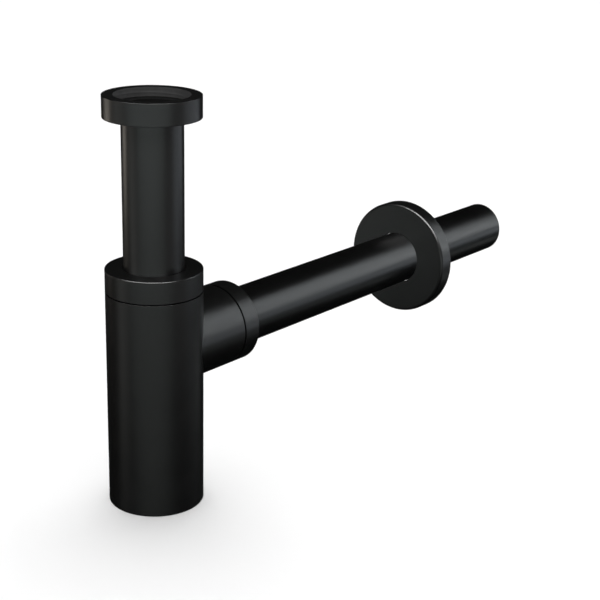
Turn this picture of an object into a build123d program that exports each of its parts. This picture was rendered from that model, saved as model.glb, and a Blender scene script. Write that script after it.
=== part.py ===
"""Basin trap: a round bottle trap for a wash basin, in satin black brass.

The basin nut screws onto the basin's waste and carries the inlet tube by its
collar. The inlet tube runs down through the cap into a plastic dip tube, which
opens near the bottom of the bottle. Water leaves the bottle through the stub
in its side, along the outlet tube and into the wall, where a pressed flange
covers the hole. Both tubes are sealed by a rubber cone under a screwed nut, so
they slide before the nuts are tightened.

Sizes are in millimetres. The origin is the centre of the basin nut's rim, +Z
is up and the outlet runs along +Y.
"""

import os

from build123d import *

# Tubes
tube_od = 32.0
tube_wall = 1.0
inlet_tube_length = 132.0
inlet_tube_shown = 79.15  # between the basin nut and the cap
outlet_tube_length = 290.0
tube_edge = 0.3

# Basin nut, for a waste with an 1 1/4 inch parallel pipe thread
thread_minor = 38.95
thread_depth = 1.48
thread_length = 4.8
thread_relief = 0.25
basin_nut_wall = 4.2
basin_nut_height = 11.5
basin_nut_lip = 2.0
collar_thickness = 1.5
collar_gap = 0.22
washer_thickness = 3.0
washer_gap = 0.17
washer_inset = 1.0  # how far the washer's hole is inside the tube's bore
washer_edge = 0.3

# Bottle
waterway = 5.8  # between the dip tube and the bottle's wall
bottle_wall = 1.8
bottle_floor = 3.0
bottle_height = 119.35  # from its base to the seam under the cap
base_edge = 0.5
floor_bevel = 2.0
neck_wall = 1.4
dip_lip_width = 1.7
dip_lip_height = 3.5

# Screwed nuts over the tube seals, one on the bottle and one on the outlet
fine_thread_depth = 0.8
fine_thread_gap = 0.1
nut_wall = 1.7
nut_plate = 2.0
nut_edge = 0.5
seam_edge = 0.3
seam_gap = 0.2
cap_height = 12.3
outlet_nut_height = 11.35
neck_short_of_plate = 2.4

# Tube seals: a rubber cone in a tapered seat, under a loose slip ring
seal_width = 2.85
seal_tip_width = 1.0
seal_height = 5.8
seat_depth = 5.0
seat_wall = 1.05
slip_ring_thickness = 1.0
slip_ring_width = 3.0

# Dip tube and its gasket
dip_tube_wall = 1.7
dip_floor = 1.4
cup_gap = 0.2
gasket_thickness = 1.5
gasket_gap = 0.4
water_seal = 50.0  # from the outlet's weir down to the dip tube's mouth

# Outlet stub
outlet_drop = 32.05  # its axis below the seam under the cap
stub_shown = 21.55  # between the bottle's wall and the outlet nut
stub_wall = 3.0
guide_length = 8.0
outlet_tube_stop = 3.8  # the outlet tube's end stands this far off the bottle

# Wall flange
flange_od = 70.8
flange_depth = 9.9
flange_sheet = 1.2
flange_bend = 1.7
outlet_tube_shown = 160.8  # between the outlet nut and the flange

# Radial clearances around a tube
nut_clearance = 0.3
ring_clearance = 0.25
seal_clearance = 0.05
guide_clearance = 0.4
seat_clearance = 0.1

# Radii that follow from the sizes above
tube_r = tube_od / 2
tube_bore_r = tube_r - tube_wall
nut_hole_r = tube_r + nut_clearance
guide_r = tube_r + guide_clearance
seal_bore_r = tube_r + seal_clearance
seal_r = seal_bore_r + seal_width
seal_tip_r = seal_bore_r + seal_tip_width
seat_r = seal_r + seat_clearance
seat_tip_r = seal_tip_r + seat_clearance

basin_thread_r = thread_minor / 2
basin_relief_r = basin_thread_r + thread_depth + thread_relief
basin_nut_r = basin_relief_r + basin_nut_wall

dip_tube_r = guide_r + dip_tube_wall
bottle_bore_r = dip_tube_r + waterway
bottle_r = bottle_bore_r + bottle_wall


def neck_radius(nut_r):
    """Thread root of the neck that a nut of this outer radius screws onto."""
    return nut_r - nut_wall - fine_thread_depth - fine_thread_gap


bottle_neck_r = neck_radius(bottle_r)
neck_bore_r = bottle_neck_r - neck_wall
dip_lip_r = neck_bore_r - dip_lip_width
cup_r = neck_bore_r - cup_gap

stub_neck_r = seat_r + seat_wall
stub_r = stub_neck_r + nut_wall + fine_thread_depth + fine_thread_gap
stub_bore_r = stub_r - stub_wall
flange_r = flange_od / 2

# Heights, from the basin nut's rim down
nut_lip_z = basin_nut_lip - basin_nut_height
collar_z = nut_lip_z + collar_thickness
cap_z = -basin_nut_height - inlet_tube_shown
seam_z = cap_z - cap_height
base_z = seam_z - bottle_height
outlet_z = seam_z - outlet_drop
weir_z = outlet_z - tube_bore_r
dip_mouth_z = weir_z - water_seal

# The stack under the cap's plate
cap_under_z = cap_z - nut_plate
seal_top_z = cap_under_z - slip_ring_thickness
seat_z = seal_top_z - seal_height
dip_flange_z = seat_z - dip_floor
shoulder_z = dip_flange_z - gasket_thickness
neck_top_z = cap_under_z - neck_short_of_plate

# The same stack along the outlet, from the bottle's axis
outlet_seam = bottle_r + stub_shown
outlet_reach = outlet_seam + outlet_nut_height
outlet_seal_top = outlet_reach - nut_plate - slip_ring_thickness
outlet_seat = outlet_seal_top - seal_height
stub_end = outlet_seat + seat_depth
outlet_tube_start = bottle_r + outlet_tube_stop
flange_front = outlet_reach + outlet_tube_shown

# Pieces on the outlet are modelled upright, then laid along +Y
along_outlet = Pos(0, 0, outlet_z) * Rot(-90, 0, 0)


def turned(*outline):
    """A solid of revolution about Z from (radius, height) points."""
    corners = [(radius, 0, height) for radius, height in outline]
    return revolve(make_face(Polyline(*corners, close=True)), Axis.Z)


def ring(inner_r, outer_r, low, high):
    """A plain ring about Z."""
    return turned((inner_r, low), (outer_r, low), (outer_r, high), (inner_r, high))


def rims(solid, radius, height):
    """The circular edges of this radius, centred on Z at this height."""
    return [
        edge
        for edge in solid.edges().filter_by(GeomType.CIRCLE)
        if abs(edge.radius - radius) < 1e-4
        and abs(edge.arc_center.Z - height) < 1e-4
        and Vector(edge.arc_center.X, edge.arc_center.Y).length < 1e-4
    ]


def basin_nut():
    """Plain round union nut with its thread at the top and a lip for the collar."""
    relief_z = -thread_length - (basin_relief_r - basin_thread_r)
    nut = turned(
        (nut_hole_r, -basin_nut_height),
        (basin_nut_r, -basin_nut_height),
        (basin_nut_r, 0),
        (basin_thread_r, 0),
        (basin_thread_r, -thread_length),
        (basin_relief_r, relief_z),
        (basin_relief_r, nut_lip_z),
        (nut_hole_r, nut_lip_z),
    )
    outer = rims(nut, basin_nut_r, 0) + rims(nut, basin_nut_r, -basin_nut_height)
    return chamfer(outer, nut_edge)


def basin_washer():
    """Flat rubber washer between the inlet tube's collar and the waste."""
    outer_r = basin_thread_r - washer_gap
    top_z = collar_z + washer_thickness
    washer = ring(tube_bore_r - washer_inset, outer_r, collar_z, top_z)
    return chamfer(rims(washer, outer_r, top_z), washer_edge)


def inlet_tube():
    """Plain tube with a collar at its top, which hangs on the basin nut's lip."""
    collar_r = basin_thread_r - collar_gap
    end_z = collar_z - inlet_tube_length
    tube = turned(
        (tube_bore_r, end_z),
        (tube_r, end_z),
        (tube_r, nut_lip_z),
        (collar_r, nut_lip_z),
        (collar_r, collar_z),
        (tube_bore_r, collar_z),
    )
    return chamfer(rims(tube, tube_r, end_z), tube_edge)


def union_nut(outer_r, height):
    """Nut with a plate that bears on the slip ring, its open end at height 0."""
    bore_r = outer_r - nut_wall
    nut = turned(
        (bore_r, 0),
        (outer_r, 0),
        (outer_r, height),
        (nut_hole_r, height),
        (nut_hole_r, height - nut_plate),
        (bore_r, height - nut_plate),
    )
    nut = chamfer(rims(nut, outer_r, height), nut_edge)
    return chamfer(rims(nut, outer_r, 0), seam_edge)


def slip_ring():
    """Thin ring that lets a nut turn without dragging the seal, from height 0."""
    inner_r = tube_r + ring_clearance
    return ring(inner_r, inner_r + slip_ring_width, 0, slip_ring_thickness)


def cone_seal():
    """Rubber cone with its tip at height 0 and its flat end up."""
    return turned(
        (seal_bore_r, 0),
        (seal_tip_r, 0),
        (seal_r, seat_depth),
        (seal_r, seal_height),
        (seal_bore_r, seal_height),
    )


def dip_tube():
    """Plastic tube with a cup at its top: the seal's seat, clamped by the cap."""
    return turned(
        (guide_r, dip_mouth_z),
        (dip_tube_r, dip_mouth_z),
        (dip_tube_r, dip_flange_z),
        (cup_r, dip_flange_z),
        (cup_r, seat_z + seat_depth),
        (seat_r, seat_z + seat_depth),
        (seat_tip_r, seat_z),
        (guide_r, seat_z),
    )


def dip_tube_gasket():
    """Flat rubber ring between the dip tube's cup and the bottle's shoulder."""
    return ring(dip_tube_r + gasket_gap, cup_r, shoulder_z, dip_flange_z)


def bottle_shell():
    """Turned bottle: base, wall, shoulder for the dip tube and threaded neck."""
    lip_z = shoulder_z - dip_lip_height
    shell = turned(
        (0, base_z),
        (bottle_r, base_z),
        (bottle_r, seam_z),
        (bottle_neck_r, seam_z),
        (bottle_neck_r, neck_top_z),
        (neck_bore_r, neck_top_z),
        (neck_bore_r, shoulder_z),
        (dip_lip_r, shoulder_z),
        (dip_lip_r, lip_z),
        (bottle_bore_r, lip_z - (bottle_bore_r - dip_lip_r)),
        (bottle_bore_r, base_z + bottle_floor),
        (0, base_z + bottle_floor),
    )
    shell = chamfer(rims(shell, bottle_r, base_z), base_edge)
    shell = chamfer(rims(shell, bottle_bore_r, base_z + bottle_floor), floor_bevel)
    shell = chamfer(rims(shell, bottle_neck_r, neck_top_z), seam_edge)
    return chamfer(rims(shell, bottle_r, seam_z), seam_edge)


def outlet_stub():
    """Side outlet, upright: a hollow stub, a guide for the tube and the seal's seat."""
    stub = turned(
        (stub_bore_r, 0),
        (stub_r, 0),
        (stub_r, outlet_seam),
        (stub_neck_r, outlet_seam),
        (stub_neck_r, stub_end),
        (seat_r, stub_end),
        (seat_tip_r, outlet_seat),
        (guide_r, outlet_seat),
        (guide_r, outlet_seat - guide_length),
        (stub_bore_r, outlet_seat - guide_length),
    )
    return chamfer(rims(stub, stub_r, outlet_seam), seam_edge)


def bottle_body():
    """Bottle with its stub brazed over a hole that the outlet tube can't enter."""
    core = Pos(0, 0, base_z) * Cylinder(
        bottle_r - bottle_wall / 2,
        bottle_height,
        align=(Align.CENTER, Align.CENTER, Align.MIN),
    )
    hole = along_outlet * Cylinder(
        tube_bore_r, outlet_tube_start, align=(Align.CENTER, Align.CENTER, Align.MIN)
    )
    return bottle_shell() - hole + (along_outlet * outlet_stub() - core)


def outlet_tube():
    """Plain straight tube from the stub into the wall."""
    tube = ring(tube_bore_r, tube_r, 0, outlet_tube_length)
    ends = rims(tube, tube_r, 0) + rims(tube, tube_r, outlet_tube_length)
    return Pos(0, 0, outlet_tube_start) * chamfer(ends, tube_edge)


def wall_flange():
    """Pressed cup that slides on the outlet tube and hides the hole in the wall."""
    flange = turned(
        (guide_r, 0),
        (flange_r, 0),
        (flange_r, flange_depth),
        (flange_r - flange_sheet, flange_depth),
        (flange_r - flange_sheet, flange_sheet),
        (guide_r, flange_sheet),
    )
    flange = fillet(rims(flange, flange_r, 0), flange_bend)
    inner_bend = rims(flange, flange_r - flange_sheet, flange_sheet)
    return Pos(0, 0, flange_front) * chamfer(inner_bend, flange_bend - flange_sheet)


def cap_nut():
    """Nut that closes the bottle's neck, flush with the bottle's wall."""
    return Pos(0, 0, seam_z + seam_gap) * union_nut(bottle_r, cap_height - seam_gap)


def outlet_nut():
    """Nut that closes the outlet stub, flush with the stub."""
    height = outlet_nut_height - seam_gap
    return Pos(0, 0, outlet_seam + seam_gap) * union_nut(stub_r, height)


nodes = {
    "basin_nut": basin_nut(),
    "basin_washer": basin_washer(),
    "inlet_tube": inlet_tube(),
    "cap_nut": cap_nut(),
    "cap_slip_ring": Pos(0, 0, seal_top_z) * slip_ring(),
    "cap_cone_seal": Pos(0, 0, seat_z) * cone_seal(),
    "dip_tube": dip_tube(),
    "dip_tube_gasket": dip_tube_gasket(),
    "bottle_body": bottle_body(),
    "outlet_nut": along_outlet * outlet_nut(),
    "outlet_slip_ring": along_outlet * Pos(0, 0, outlet_seal_top) * slip_ring(),
    "outlet_cone_seal": along_outlet * Pos(0, 0, outlet_seat) * cone_seal(),
    "outlet_tube": along_outlet * outlet_tube(),
    "wall_flange": along_outlet * wall_flange(),
}

os.makedirs("parts", exist_ok=True)
for name, solid in nodes.items():
    export_step(solid, f"parts/{name}.step")
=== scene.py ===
"""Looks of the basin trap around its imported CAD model.

The pieces follow the trap from the basin down to the wall. Lengths are in
millimetres and are turned to metres where a mesh is made. The origin is the
centre of the basin nut's rim, +Z is up and the outlet runs along +Y.
"""

import math

import bmesh
import bpy
from mathutils import Matrix, Vector


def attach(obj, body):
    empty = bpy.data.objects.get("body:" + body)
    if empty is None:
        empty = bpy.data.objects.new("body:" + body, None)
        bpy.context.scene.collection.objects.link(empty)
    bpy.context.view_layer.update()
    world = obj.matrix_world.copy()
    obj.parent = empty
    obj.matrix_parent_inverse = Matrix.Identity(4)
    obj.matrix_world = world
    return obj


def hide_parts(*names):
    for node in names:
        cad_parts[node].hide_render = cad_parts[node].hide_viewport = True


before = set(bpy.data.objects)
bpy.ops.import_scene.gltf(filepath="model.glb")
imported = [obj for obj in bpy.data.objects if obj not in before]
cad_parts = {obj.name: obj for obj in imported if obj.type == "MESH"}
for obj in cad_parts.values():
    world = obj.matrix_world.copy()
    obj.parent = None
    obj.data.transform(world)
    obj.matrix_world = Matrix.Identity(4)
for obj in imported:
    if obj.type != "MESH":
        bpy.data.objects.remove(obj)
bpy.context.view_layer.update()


# Basin nut
# A plain round ring turned from brass, with a female pipe thread for the basin's waste
# and a lip that lifts the inlet tube by its collar. Satin black coating all over.

nut_hole_r = 16.3
basin_nut_r = 25.405
basin_nut_height = 11.5
basin_thread_r = 19.475
basin_thread_root_r = 19.55
basin_thread_length = 4.8
basin_thread_lead = 0.5
basin_thread_pitch = 2.309
basin_thread_foot = 2.25
basin_thread_crest = 0.25
basin_relief_r = 21.205
basin_relief_slope = 1.3
nut_lip_z = -9.5
nut_rim_edge = 0.15
nut_mouth_edge = 0.08
nut_foot_edge = 0.25
nut_hole_edge = 0.3
deburred_edge = 0.2


def arc_corner(before, corner, after, radius, pieces=5):
    """Points that round a corner of an outline with this radius."""
    corner = Vector(corner)
    back = (Vector(before) - corner).normalized()
    on = (Vector(after) - corner).normalized()
    half = back.angle(on) / 2
    reach = radius / math.tan(half)
    centre = corner + (back + on).normalized() * radius / math.sin(half)
    start = corner + back * reach - centre
    end = corner + on * reach - centre
    swing = start.angle_signed(end)
    points = []
    for i in range(pieces + 1):
        turn = Matrix.Rotation(-swing * i / pieces, 2)
        points.append(tuple(centre + turn @ start))
    return points


def rounded(outline):
    """A closed outline of (radius, height[, rounding]) with its corners rounded."""
    points = []
    count = len(outline)
    for i, corner in enumerate(outline):
        if len(corner) == 2:
            points.append(corner)
            continue
        before = outline[i - 1][:2]
        after = outline[(i + 1) % count][:2]
        points.extend(arc_corner(before, corner[:2], after, corner[2]))
    return points


def even_shading(piece):
    """Lets a piece's large faces set the shading, so that rounded edges don't tilt it."""
    weighted = piece.modifiers.new("even_shading", "WEIGHTED_NORMAL")
    weighted.keep_sharp = True
    weighted.weight = 100


def smooth(piece, sharp=38):
    """Shades a piece smooth, but for edges that bend by more than this many degrees."""
    piece.data.shade_smooth()
    piece.data.set_sharp_from_angle(angle=math.radians(sharp))
    even_shading(piece)


def finished(name, mesh, lay, sharp=38):
    """A smooth object of this mesh, which is in millimetres and is used up."""
    mesh.normal_update()
    bmesh.ops.recalc_face_normals(mesh, faces=mesh.faces)
    mesh.transform(lay)
    mesh.transform(Matrix.Scale(0.001, 4))
    data = bpy.data.meshes.new(name)
    mesh.to_mesh(data)
    mesh.free()
    piece = bpy.data.objects.new(name, data)
    bpy.context.scene.collection.objects.link(piece)
    smooth(piece, sharp)
    return piece


def turned(name, outline, lay=Matrix.Identity(4), steps=180):
    """A piece turned about Z from a closed outline of (radius, height[, rounding])."""
    mesh = bmesh.new()
    rings = []
    for radius, height in rounded(outline):
        if radius < 1e-6:
            rings.append([mesh.verts.new((0, 0, height))] * steps)
            continue
        ring = []
        for i in range(steps):
            angle = math.tau * i / steps
            place = (radius * math.cos(angle), radius * math.sin(angle), height)
            ring.append(mesh.verts.new(place))
        rings.append(ring)
    for i, ring in enumerate(rings):
        following = rings[(i + 1) % len(rings)]
        if ring[0] is ring[1] and following[0] is following[1]:
            continue
        for j in range(steps):
            k = (j + 1) % steps
            corners = []
            for vert in (ring[j], ring[k], following[k], following[j]):
                if vert not in corners:
                    corners.append(vert)
            mesh.faces.new(corners)
    return finished(name, mesh, lay)


def thread(
    name, root_r, crest_r, low, high, pitch, foot, crest, lay=Matrix.Identity(4), phase=0.0
):
    """A right-hand thread ridge on a wall of radius root_r, foot and crest wide."""
    mesh = bmesh.new()
    turns = (high - low - foot) / pitch
    per_turn = 96
    run_out = per_turn / 5  # the ridge grows and fades over a fifth of a turn
    count = int(turns * per_turn)
    sink = 0.05 if crest_r > root_r else -0.05
    sections = []
    for i in range(count + 1):
        angle = math.tau * i / per_turn
        fade = min(1.0, i / run_out, (count - i) / run_out)
        top_r = root_r + (crest_r - root_r) * max(fade, 0.02)
        middle = low + foot / 2 + pitch * i / per_turn
        section = []
        for radius, offset in (
            (root_r - sink, -foot / 2),
            (top_r, -crest / 2),
            (top_r, crest / 2),
            (root_r - sink, foot / 2),
        ):
            turn = angle + phase
            place = (radius * math.cos(turn), radius * math.sin(turn), middle + offset)
            section.append(mesh.verts.new(place))
        sections.append(section)
    for first, second in zip(sections, sections[1:]):
        for j in range(4):
            k = (j + 1) % 4
            mesh.faces.new((first[j], first[k], second[k], second[j]))
    mesh.faces.new(sections[0])
    mesh.faces.new(sections[-1])
    return finished(name, mesh, lay, sharp=28)


def linear(code):
    """A linear colour from an sRGB hex code."""
    values = []
    for i in (1, 3, 5):
        value = int(code[i:i + 2], 16) / 255
        values.append(value / 12.92 if value <= 0.04045 else ((value + 0.055) / 1.055) ** 2.4)
    return (*values, 1.0)


def add_node(tree, kind, settings=None, links=None):
    """A node of this kind, with socket or property settings and links into its inputs."""
    node = tree.nodes.new(kind)
    for key, value in (settings or {}).items():
        if isinstance(key, int) or key in node.inputs:
            node.inputs[key].default_value = value
        else:
            setattr(node, key, value)
    for key, source in (links or {}).items():
        tree.links.new(source, node.inputs[key])
    return node


def new_material(name):
    """An empty node material and its tree."""
    material = bpy.data.materials.new(name)
    material.use_nodes = True
    material.node_tree.nodes.clear()
    return material, material.node_tree


def paint(piece, outside, bore=None):
    """Gives a piece its material, and the walls that face its upright axis another one."""
    piece.data.materials.clear()
    piece.data.materials.append(outside)
    if bore is None:
        return
    piece.data.materials.append(bore)
    for face in piece.data.polygons:
        if face.normal.xy.dot(face.center.xy.normalized()) < -0.3:
            face.material_index = 1


# The coating is a satin black polyester powder, sprayed and baked on brass: even and very
# dark. Its skin ripples about every millimetre and its sheen drifts over a centimetre or
# so, which spreads each reflection into a soft band.
coat_skin_size = 0.9
coat_mottle_size = 14.0

black_satin_coat, tree = new_material("satin_black_powder_coat")
place = add_node(tree, "ShaderNodeTexCoord").outputs["Object"]
skin = add_node(
    tree,
    "ShaderNodeTexNoise",
    {"Scale": 1000 / coat_skin_size, "Detail": 3.0, "Roughness": 0.55},
    {"Vector": place},
)
mottle = add_node(
    tree,
    "ShaderNodeTexNoise",
    {"Scale": 1000 / coat_mottle_size, "Detail": 2.0, "Roughness": 0.5},
    {"Vector": place},
)
colour = add_node(
    tree,
    "ShaderNodeValToRGB",
    links={"Fac": mottle.outputs["Fac"]},
)
colour.color_ramp.elements[0].position = 0.35
colour.color_ramp.elements[0].color = linear("#050505")
colour.color_ramp.elements[1].position = 0.65
colour.color_ramp.elements[1].color = linear("#070707")
gloss = add_node(
    tree,
    "ShaderNodeMapRange",
    {"To Min": 0.3, "To Max": 0.34},
    {"Value": mottle.outputs["Fac"]},
)
bump = add_node(
    tree,
    "ShaderNodeBump",
    {"Strength": 0.08, "Distance": 0.0001},
    {"Height": skin.outputs["Fac"]},
)
surface = add_node(
    tree,
    "ShaderNodeBsdfPrincipled",
    {"Metallic": 0.0, "IOR": 1.5, "Specular IOR Level": 0.2},
    {
        "Base Color": colour.outputs["Color"],
        "Roughness": gloss.outputs["Result"],
        "Normal": bump.outputs["Normal"],
    },
)
add_node(tree, "ShaderNodeOutputMaterial", links={"Surface": surface.outputs["BSDF"]})

# The walls in the nut's bore and in the tube under it are painted a lighter grey, dull and a
# little patchy: painted light, which stands in for the light that the bore's wall catches.
bore_light_patch_size = 5.0

painted_bore_light, tree = new_material("painted_light_grey_bore")
place = add_node(tree, "ShaderNodeTexCoord").outputs["Object"]
blotches = add_node(
    tree,
    "ShaderNodeTexNoise",
    {"Scale": 1000 / bore_light_patch_size, "Detail": 3.0, "Roughness": 0.6},
    {"Vector": place},
)
colour = add_node(tree, "ShaderNodeValToRGB", links={"Fac": blotches.outputs["Fac"]})
colour.color_ramp.elements[0].position = 0.3
colour.color_ramp.elements[0].color = linear("#404040")
colour.color_ramp.elements[1].position = 0.7
colour.color_ramp.elements[1].color = linear("#4A4A4A")
surface = add_node(
    tree,
    "ShaderNodeBsdfPrincipled",
    {"IOR": 1.5, "Roughness": 0.6, "Specular IOR Level": 0.1},
    {"Base Color": colour.outputs["Color"]},
)
add_node(tree, "ShaderNodeOutputMaterial", links={"Surface": surface.outputs["BSDF"]})

basin_nut = turned(
    "basin_nut_ring",
    (
        (nut_hole_r, -basin_nut_height, nut_hole_edge),
        (basin_nut_r, -basin_nut_height, nut_foot_edge),
        (basin_nut_r, 0, nut_rim_edge),
        (basin_thread_root_r, 0, nut_mouth_edge),
        (basin_thread_root_r, -basin_thread_length),
        (basin_relief_r, -basin_thread_length - basin_relief_slope),
        (basin_relief_r, nut_lip_z),
        (nut_hole_r, nut_lip_z, deburred_edge),
    ),
)
basin_nut_thread = thread(
    "basin_nut_thread",
    basin_thread_root_r,
    basin_thread_r,
    -basin_thread_length,
    -basin_thread_lead,
    basin_thread_pitch,
    basin_thread_foot,
    basin_thread_crest,
)
# The nut's bore and its thread are painted the lighter grey: painted light on the inner wall.
paint(basin_nut, black_satin_coat, bore=painted_bore_light)
paint(basin_nut_thread, painted_bore_light)
for piece in (basin_nut, basin_nut_thread):
    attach(piece, "basin_nut")
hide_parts("basin_nut")


# Basin washer
# A flat ring punched from black rubber, 3 mm thick, that the basin nut presses between
# the tube's collar and the waste. It lies loose in the nut's mouth.

collar_z = -8.0
washer_top_z = -5.0
washer_r = 19.305
washer_hole_r = 14.0
washer_edge = 0.1

# Black rubber swallows light and has almost no gloss, with a fine grain from its mould
rubber_grain_size = 0.7

moulded_rubber, tree = new_material("moulded_black_rubber")
place = add_node(tree, "ShaderNodeTexCoord").outputs["Object"]
grain = add_node(
    tree,
    "ShaderNodeTexNoise",
    {"Scale": 1000 / rubber_grain_size, "Detail": 3.0, "Roughness": 0.6},
    {"Vector": place},
)
colour = add_node(tree, "ShaderNodeValToRGB", links={"Fac": grain.outputs["Fac"]})
colour.color_ramp.elements[0].position = 0.3
colour.color_ramp.elements[0].color = linear("#0E0E0E")
colour.color_ramp.elements[1].position = 0.7
colour.color_ramp.elements[1].color = linear("#131313")
bump = add_node(
    tree,
    "ShaderNodeBump",
    {"Strength": 0.2, "Distance": 0.0001},
    {"Height": grain.outputs["Fac"]},
)
surface = add_node(
    tree,
    "ShaderNodeBsdfPrincipled",
    {"IOR": 1.5, "Specular IOR Level": 0.02, "Roughness": 0.8},
    {"Base Color": colour.outputs["Color"], "Normal": bump.outputs["Normal"]},
)
add_node(tree, "ShaderNodeOutputMaterial", links={"Surface": surface.outputs["BSDF"]})

basin_washer = turned(
    "basin_washer_ring",
    (
        (washer_hole_r, collar_z, washer_edge),
        (washer_r, collar_z, washer_edge),
        (washer_r, washer_top_z, washer_edge),
        (washer_hole_r, washer_top_z, washer_edge),
    ),
)
paint(basin_washer, moulded_rubber)
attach(basin_washer, "inlet_tube")
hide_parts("basin_washer")


# Inlet tube
# A 32 mm brass tube with 1 mm wall and a collar at its top, coated like the nut. It hangs
# on the nut's lip by the collar and slides in the cap's seal.

tube_r = 16.0
tube_bore_r = 15.0
collar_r = 19.255
collar_edge = 0.1
inlet_end_z = -140.0
tube_edge = 0.3

inlet_tube = turned(
    "inlet_tube_pipe",
    (
        (tube_bore_r, inlet_end_z, deburred_edge),
        (tube_r, inlet_end_z, tube_edge),
        (tube_r, nut_lip_z),
        (collar_r, nut_lip_z, collar_edge),
        (collar_r, collar_z, collar_edge),
        (tube_bore_r, collar_z),
    ),
)
# The tube's bore is painted the same lighter grey: painted light on its inner wall.
paint(inlet_tube, black_satin_coat, bore=painted_bore_light)
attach(inlet_tube, "inlet_tube")
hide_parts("inlet_tube")


# Cap and outlet nut
# Two plain round nuts turned from brass and coated black. Each has a flat plate that
# presses the tube's seal down, and a fine female thread for the neck that it screws onto.

seam_z = -102.95
cap_slit = 0.8
bottle_r = 25.7
cap_height = 12.3
outlet_seam = 47.25
outlet_slit = 1.2
outlet_nut_height = 11.35
outlet_z = -135.0
stub_r = 22.65
nut_wall = 1.7
nut_plate = 2.0
nut_edge = 0.65
nut_thread_start = 0.7
nut_thread_end = 7.2
fine_pitch = 1.5
fine_depth = 0.78
fine_foot = 0.95
fine_crest = 0.3

# The outlet's pieces are made upright and laid along +Y
along_outlet = Matrix.Translation((0, 0, outlet_z)) @ Matrix.Rotation(math.radians(-90), 4, "X")


def union_nut(name, radius, seam, slit, height, lay=Matrix.Identity(4)):
    """A plated nut and its thread, with half the slit at the seam taken off its end."""
    high = seam + height
    bore_r = radius - nut_wall
    ring = turned(
        name,
        (
            (bore_r, seam + slit / 2),
            (radius, seam + slit / 2),
            (radius, high, nut_edge),
            (nut_hole_r, high, deburred_edge),
            (nut_hole_r, high - nut_plate),
            (bore_r, high - nut_plate),
        ),
        lay,
    )
    inside = thread(
        name + "_thread",
        bore_r,
        bore_r - fine_depth,
        seam + nut_thread_start,
        seam + nut_thread_end,
        fine_pitch,
        fine_foot,
        fine_crest,
        lay,
    )
    return ring, inside


cap_nut = union_nut("cap_nut_shell", bottle_r, seam_z, cap_slit, cap_height)
outlet_nut = union_nut(
    "outlet_nut_shell", stub_r, outlet_seam, outlet_slit, outlet_nut_height, along_outlet
)
for pieces, node in ((cap_nut, "cap_nut"), (outlet_nut, "outlet_nut")):
    for piece in pieces:
        paint(piece, black_satin_coat)
        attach(piece, node)
    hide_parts(node)


# Seals, slip rings and dip tube
# Under each nut a thin plastic ring slides on a black rubber cone. The cap's cone sits in
# the cup of the dip tube, a white polypropylene moulding on a flat rubber gasket.

# White polypropylene is slightly waxy: light goes a little way in and softens its edges
plastic_cloud_size = 6.0

moulded_plastic, tree = new_material("moulded_white_polypropylene")
place = add_node(tree, "ShaderNodeTexCoord").outputs["Object"]
blotches = add_node(
    tree,
    "ShaderNodeTexNoise",
    {"Scale": 1000 / plastic_cloud_size, "Detail": 2.0},
    {"Vector": place},
)
colour = add_node(tree, "ShaderNodeValToRGB", links={"Fac": blotches.outputs["Fac"]})
colour.color_ramp.elements[0].color = linear("#DEDCD4")
colour.color_ramp.elements[1].color = linear("#E8E6DF")
surface = add_node(
    tree,
    "ShaderNodeBsdfPrincipled",
    {"IOR": 1.49, "Roughness": 0.42, "Subsurface Weight": 0.15, "Subsurface Scale": 0.002},
    {"Base Color": colour.outputs["Color"]},
)
add_node(tree, "ShaderNodeOutputMaterial", links={"Surface": surface.outputs["BSDF"]})

for node, material in (
    ("cap_slip_ring", moulded_plastic),
    ("outlet_slip_ring", moulded_plastic),
    ("dip_tube", moulded_plastic),
    ("cap_cone_seal", moulded_rubber),
    ("outlet_cone_seal", moulded_rubber),
    ("dip_tube_gasket", moulded_rubber),
):
    paint(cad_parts[node], material)


# Bottle
# A cup turned from brass with a threaded neck, and a hollow stub brazed into its side
# over the outlet's hole. Both are coated in one go, so the joint between them is only
# a crease.

base_z = -222.3
bottle_bore_r = 23.9
bottle_floor = 3.0
floor_fillet = 2.0
base_edge = 0.35
bottle_neck_r = 23.1
neck_edge = 0.3
neck_thread_start = 0.6
neck_thread_end = 0.3
neck_bore_r = 21.7
neck_top_z = -95.05
shoulder_z = -102.85
dip_lip_r = 20.0
dip_lip_height = 3.5
bottle_seam_edge = 0.05
bottle_steps = 240

# Inside the stub's neck a tapered seat holds the cone seal, and a guide behind it the tube
stub_bore_r = 19.65
stub_neck_r = 20.05
stub_neck_end = 55.3
seat_r = 19.15
seat_tip_r = 17.15
seat_y = 49.8
guide_r = 16.4
guide_length = 8.0
stub_foot = 20.0
stub_sink = 0.1
hidden_r = 18.0  # the wall inside this radius lies behind the stub
outlet_tube_start = 29.5


def cut_away(piece, other):
    """Cuts the space of another piece, which is used up, out of this one."""
    piece.modifiers.clear()
    step = piece.modifiers.new("cut", "BOOLEAN")
    step.object = other
    step.operation = "DIFFERENCE"
    step.solver = "EXACT"
    depsgraph = bpy.context.evaluated_depsgraph_get()
    whole = bpy.data.meshes.new_from_object(piece.evaluated_get(depsgraph))
    piece.modifiers.remove(step)
    piece.data = whole
    bpy.data.objects.remove(other)


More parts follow.
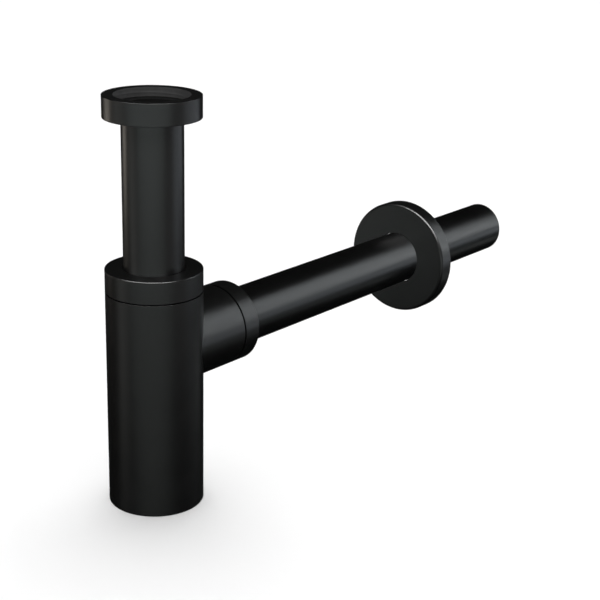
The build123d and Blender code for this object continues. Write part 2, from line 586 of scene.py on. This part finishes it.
bottle = turned(
    "bottle_shell",
    (
        (0, base_z),
        (bottle_r, base_z, base_edge),
        (bottle_r, outlet_z - hidden_r),
        (bottle_r, outlet_z + hidden_r),
        (bottle_r, seam_z - cap_slit / 2, bottle_seam_edge),
        (bottle_neck_r, seam_z - cap_slit / 2),
        (bottle_neck_r, neck_top_z, neck_edge),
        (neck_bore_r, neck_top_z, deburred_edge),
        (neck_bore_r, shoulder_z),
        (dip_lip_r, shoulder_z, deburred_edge),
        (dip_lip_r, shoulder_z - dip_lip_height, deburred_edge),
        (bottle_bore_r, shoulder_z - dip_lip_height - (bottle_bore_r - dip_lip_r)),
        (bottle_bore_r, base_z + bottle_floor, floor_fillet),
        (0, base_z + bottle_floor),
    ),
    steps=bottle_steps,
)
waterway = turned(
    "waterway",
    ((0, 0), (tube_bore_r, 0), (tube_bore_r, outlet_tube_start), (0, outlet_tube_start)),
    along_outlet,
)
cut_away(bottle, waterway)
smooth(bottle)

# The stub's foot follows the bottle's wall, a little inside it
stub = turned(
    "outlet_stub",
    (
        (stub_bore_r, stub_foot),
        (stub_r, stub_foot),
        (stub_r, outlet_seam - outlet_slit / 2),
        (stub_neck_r, outlet_seam - outlet_slit / 2),
        (stub_neck_r, stub_neck_end, deburred_edge),
        (seat_r, stub_neck_end),
        (seat_tip_r, seat_y),
        (guide_r, seat_y),
        (guide_r, seat_y - guide_length),
        (stub_bore_r, seat_y - guide_length),
    ),
    along_outlet,
    steps=bottle_steps,
)
for vert in stub.data.vertices:
    if abs(vert.co.y * 1000 - stub_foot) < 0.001:
        vert.co.y = math.sqrt((bottle_r - stub_sink) ** 2 - (vert.co.x * 1000) ** 2) / 1000

bottle_neck_thread = thread(
    "bottle_neck_thread",
    bottle_neck_r,
    bottle_neck_r + fine_depth,
    seam_z + neck_thread_start,
    neck_top_z - neck_thread_end,
    fine_pitch,
    fine_foot,
    fine_crest,
    phase=math.pi,
)
stub_neck_thread = thread(
    "stub_neck_thread",
    stub_neck_r,
    stub_neck_r + fine_depth,
    outlet_seam + neck_thread_start,
    stub_neck_end - neck_thread_end,
    fine_pitch,
    fine_foot,
    fine_crest,
    along_outlet,
    phase=math.pi,
)
for piece in (bottle, stub, bottle_neck_thread, stub_neck_thread):
    paint(piece, black_satin_coat)
    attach(piece, "bottle")
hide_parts("bottle_body")


# Outlet tube
# A straight 32 mm brass tube, coated black, from the stub into the wall. Both its ends
# are sawn square and lightly deburred.

outlet_tube_end = 319.5

outlet_tube = turned(
    "outlet_tube_pipe",
    (
        (tube_bore_r, outlet_tube_start, deburred_edge),
        (tube_r, outlet_tube_start, tube_edge),
        (tube_r, outlet_tube_end, tube_edge),
        (tube_bore_r, outlet_tube_end, deburred_edge),
    ),
    along_outlet,
)
paint(outlet_tube, black_satin_coat)
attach(outlet_tube, "outlet_tube")
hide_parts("outlet_tube")


# Wall flange
# A shallow cup pressed from 1.2 mm brass sheet, so its outer bend is well rounded. It
# slides on the outlet tube with a little play and hides the hole in the wall.

flange_front = 219.4
flange_r = 35.4
flange_depth = 9.9
flange_sheet = 1.2
flange_bend = 1.7
flange_hole_r = 16.11
flange_hole_edge = 0.1

wall_flange = turned(
    "wall_flange_cup",
    (
        (flange_hole_r, flange_front, flange_hole_edge),
        (flange_r, flange_front, flange_bend),
        (flange_r, flange_front + flange_depth, deburred_edge),
        (flange_r - flange_sheet, flange_front + flange_depth, deburred_edge),
        (flange_r - flange_sheet, flange_front + flange_sheet, flange_bend - flange_sheet),
        (flange_hole_r, flange_front + flange_sheet, flange_hole_edge),
    ),
    along_outlet,
)
paint(wall_flange, black_satin_coat)
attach(wall_flange, "wall_flange")
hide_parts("wall_flange")


# Floor, light and camera
# The trap stands on a white sheet among upright panels of light, with a tall box behind it
# on the right that draws the bright band along the outlet. The rest of the room is dark.
# From here on lengths are in metres.

sheet_radius = 9.0
sheet_y = 0.1

# Plain paper: bright, matt and without a mirror image of the trap
white_sheet, tree = new_material("matt_white_paper")
surface = add_node(
    tree,
    "ShaderNodeBsdfPrincipled",
    {"Base Color": linear("#F2F2F2"), "Roughness": 0.9, "Specular IOR Level": 0.1},
)
add_node(tree, "ShaderNodeOutputMaterial", links={"Surface": surface.outputs["BSDF"]})

sheet_mesh = bmesh.new()
bmesh.ops.create_circle(sheet_mesh, cap_ends=True, segments=128, radius=sheet_radius)
sheet_mesh.transform(Matrix.Translation((0.0, sheet_y, base_z / 1000)))
sheet_data = bpy.data.meshes.new("floor")
sheet_mesh.to_mesh(sheet_data)
sheet_mesh.free()
floor = bpy.data.objects.new("floor", sheet_data)
bpy.context.scene.collection.objects.link(floor)
paint(floor, white_sheet)
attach(floor, "bottle")  # it stays under the bottle's base at any height of the slide


def soft_box(name, place, target, width, height, radiance, colour="#FFFFFF"):
    """A rectangular light that faces its target, seen only as a reflection in the coating."""
    light = bpy.data.lights.new(name, "AREA")
    light.shape = "RECTANGLE"
    light.size = width
    light.size_y = height
    light.energy = radiance * width * height * math.pi
    light.color = linear(colour)[:3]
    lamp = bpy.data.objects.new(name, light)
    aim = (Vector(target) - Vector(place)).to_track_quat("-Z", "Y")
    lamp.matrix_world = Matrix.Translation(place) @ aim.to_matrix().to_4x4()
    lamp.visible_camera = False
    lamp.visible_diffuse = False
    bpy.context.scene.collection.objects.link(lamp)
    return lamp


def low_panel(name, turn, spread, low, high, radiance, colour="#FFFFFF"):
    """An upright panel 1 m from the trap, turned from the front to the right, in degrees."""
    angle = math.radians(turn - 45)
    place = (math.cos(angle), math.sin(angle), (low + high) / 2)
    width = 2 * math.tan(math.radians(spread / 2))
    return soft_box(name, place, (0.0, 0.0, place[2]), width, high - low, radiance, colour)


# Each row: turn and spread in degrees, low and high edge in metres, radiance and colour
front_panels = (
    low_panel("front_low_panel", -8, 102, -0.68, -0.50, 1.75, "#F5FDF8"),
    low_panel("front_middle_panel", -8, 102, -0.50, -0.34, 0.25, "#F5FDF8"),
    low_panel("front_high_panel", -8, 102, -0.34, -0.10, 3.9, "#F3FDFB"),
)
left_panels = (
    low_panel("left_low_panel", -77, 28, -0.62, -0.37, 1.1, "#FCFDF8"),
    low_panel("left_high_panel", -80, 34, -0.37, -0.10, 1.7, "#FCFDF8"),
)
flange_panel = low_panel("flange_panel", -96, 32, -0.54, -0.32, 2.45, "#F2FBF8")
low_panel("left_edge_panel", -120, 24, -0.31, -0.16, 3.3, "#FFF6EA")
low_panel("right_gap_panel", 62, 38, -0.50, -0.10, 0.9)
low_panel("right_low_panel", 104, 50, -0.62, -0.47, 0.45, "#F4FAF8")
right_panels = (
    low_panel("right_near_panel", 91.5, 25, -0.355, -0.18, 2.6, "#F0F7FF"),
    low_panel("right_far_panel", 116.5, 25, -0.30, -0.18, 2.1, "#F0F7FF"),
)

# The boxes face a point on the trap. Each row: width and height, radiance and colour
tall_place = (1.03, 1.36, 0.50)
tall_target = (0.016, 0.15, -0.135)
top_place = (0.32, -0.5, 0.85)
top_target = (0.0, 0.1, -0.1)
tall_box = soft_box("tall_box", tall_place, tall_target, 1.0, 1.25, 5.2, "#F6FCFF")
top_box = soft_box("top_box", top_place, top_target, 2.2, 0.45, 55.0)
tube_box = soft_box("tube_box", top_place, top_target, 2.2, 0.45, 9.0)


def sky(name, towards, spread, irradiance):
    """An even light from far off, which casts the shadows and isn't reflected."""
    light = bpy.data.lights.new(name, "SUN")
    light.energy = irradiance
    light.angle = math.radians(spread)
    lamp = bpy.data.objects.new(name, light)
    lamp.matrix_world = Vector(towards).to_track_quat("Z", "Y").to_matrix().to_4x4()
    lamp.visible_glossy = False
    lamp.visible_camera = False
    bpy.context.scene.collection.objects.link(lamp)
    return lamp


ceiling = sky("ceiling", (0.0, 0.0, 1.0), 170, 2.2)
key = sky("key", (-0.34, 0.42, 1.0), 60, 1.75)

# The panels reach below the sheet, so it neither hides them from the coating nor screens them
floor.visible_glossy = False
floor.visible_shadow = False


def light_group(name, state, pieces):
    """A light-linking collection: all but these pieces (EXCLUDE) or only these (INCLUDE)."""
    group = bpy.data.collections.new(name)
    for piece in pieces:
        group.objects.link(piece)
    for member in group.collection_objects:
        member.light_linking.link_state = state
    return group


# The photograph has a shadow by the bottle's base and none under the outlet. Its bands of
# light run on to where a tube meets the cap or the flange, with nothing mirrored there.
# The flange mirrors a panel of its own, and the slip ring stays as dark as in a closed nut.
# The bright top box draws the edges, and one that is less bright takes its place on the
# outlet tube, which would be white with it from behind.
outlet_pieces = (stub, *outlet_nut, outlet_tube, wall_flange)
clear_of_outlet = light_group("clear_of_outlet", "EXCLUDE", outlet_pieces)
clear_of_tubes = light_group("clear_of_tubes", "EXCLUDE", (cap_nut[0], outlet_tube))
clear_of_flange = light_group("clear_of_flange", "EXCLUDE", (wall_flange,))
clear_of_ring = light_group("clear_of_ring", "EXCLUDE", (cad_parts["outlet_slip_ring"],))
only_flange = light_group("only_flange", "INCLUDE", (wall_flange,))
clear_of_tube = light_group("clear_of_tube", "EXCLUDE", (outlet_tube,))
only_tube = light_group("only_tube", "INCLUDE", (outlet_tube,))
for lamp in (ceiling, key):
    lamp.light_linking.blocker_collection = clear_of_outlet
    lamp.light_linking.receiver_collection = clear_of_ring
for lamp in (tall_box, *right_panels):
    lamp.light_linking.blocker_collection = clear_of_flange
for lamp in (*front_panels, *left_panels):
    lamp.light_linking.blocker_collection = clear_of_tubes
for lamp in left_panels:
    lamp.light_linking.receiver_collection = clear_of_flange
flange_panel.light_linking.receiver_collection = only_flange
flange_panel.light_linking.blocker_collection = clear_of_tubes
top_box.light_linking.receiver_collection = clear_of_tube
tube_box.light_linking.receiver_collection = only_tube

# The room is almost black where the coating mirrors it, and white behind the trap
world = bpy.data.worlds.new("studio")
bpy.context.scene.world = world
world.use_nodes = True
tree = world.node_tree
tree.nodes.clear()
ray = add_node(tree, "ShaderNodeLightPath")
room = add_node(tree, "ShaderNodeBackground", {"Color": linear("#303030"), "Strength": 0.2})
seen = add_node(tree, "ShaderNodeBackground", {"Color": linear("#FFFFFF"), "Strength": 1.0})
both = add_node(
    tree,
    "ShaderNodeMixShader",
    links={
        "Fac": ray.outputs["Is Camera Ray"],
        1: room.outputs["Background"],
        2: seen.outputs["Background"],
    },
)
add_node(tree, "ShaderNodeOutputWorld", links={"Surface": both.outputs["Shader"]})

# The camera's place is measured from the foot of the bottle's axis
camera_azimuth = math.radians(45.22)
camera_distance = 0.69546
camera_height = 0.35422
focal_length = 83.75
film_width = 36.0
camera_place = Vector(
    (
        camera_distance * math.sin(camera_azimuth),
        -camera_distance * math.cos(camera_azimuth),
        camera_height + base_z / 1000,
    )
)
heading = math.radians(38.92)
pitch = math.radians(19.05)
roll = math.radians(1.39)
back = Vector(
    (math.sin(heading) * math.cos(pitch), -math.cos(heading) * math.cos(pitch), math.sin(pitch))
)
level = Vector((math.cos(heading), math.sin(heading), 0))
rise = back.cross(level)
right = level * math.cos(roll) + rise * math.sin(roll)
up = rise * math.cos(roll) - level * math.sin(roll)

lens = bpy.data.cameras.new("camera")
lens.sensor_width = film_width
lens.lens = focal_length
lens.clip_start = 0.01
lens.clip_end = 100.0
camera = bpy.data.objects.new("camera", lens)
turn = Matrix((right, up, back)).transposed().to_4x4()
camera.matrix_world = Matrix.Translation(camera_place) @ turn
bpy.context.scene.collection.objects.link(camera)
bpy.context.scene.camera = camera
bpy.context.scene.view_settings.view_transform = "Standard"
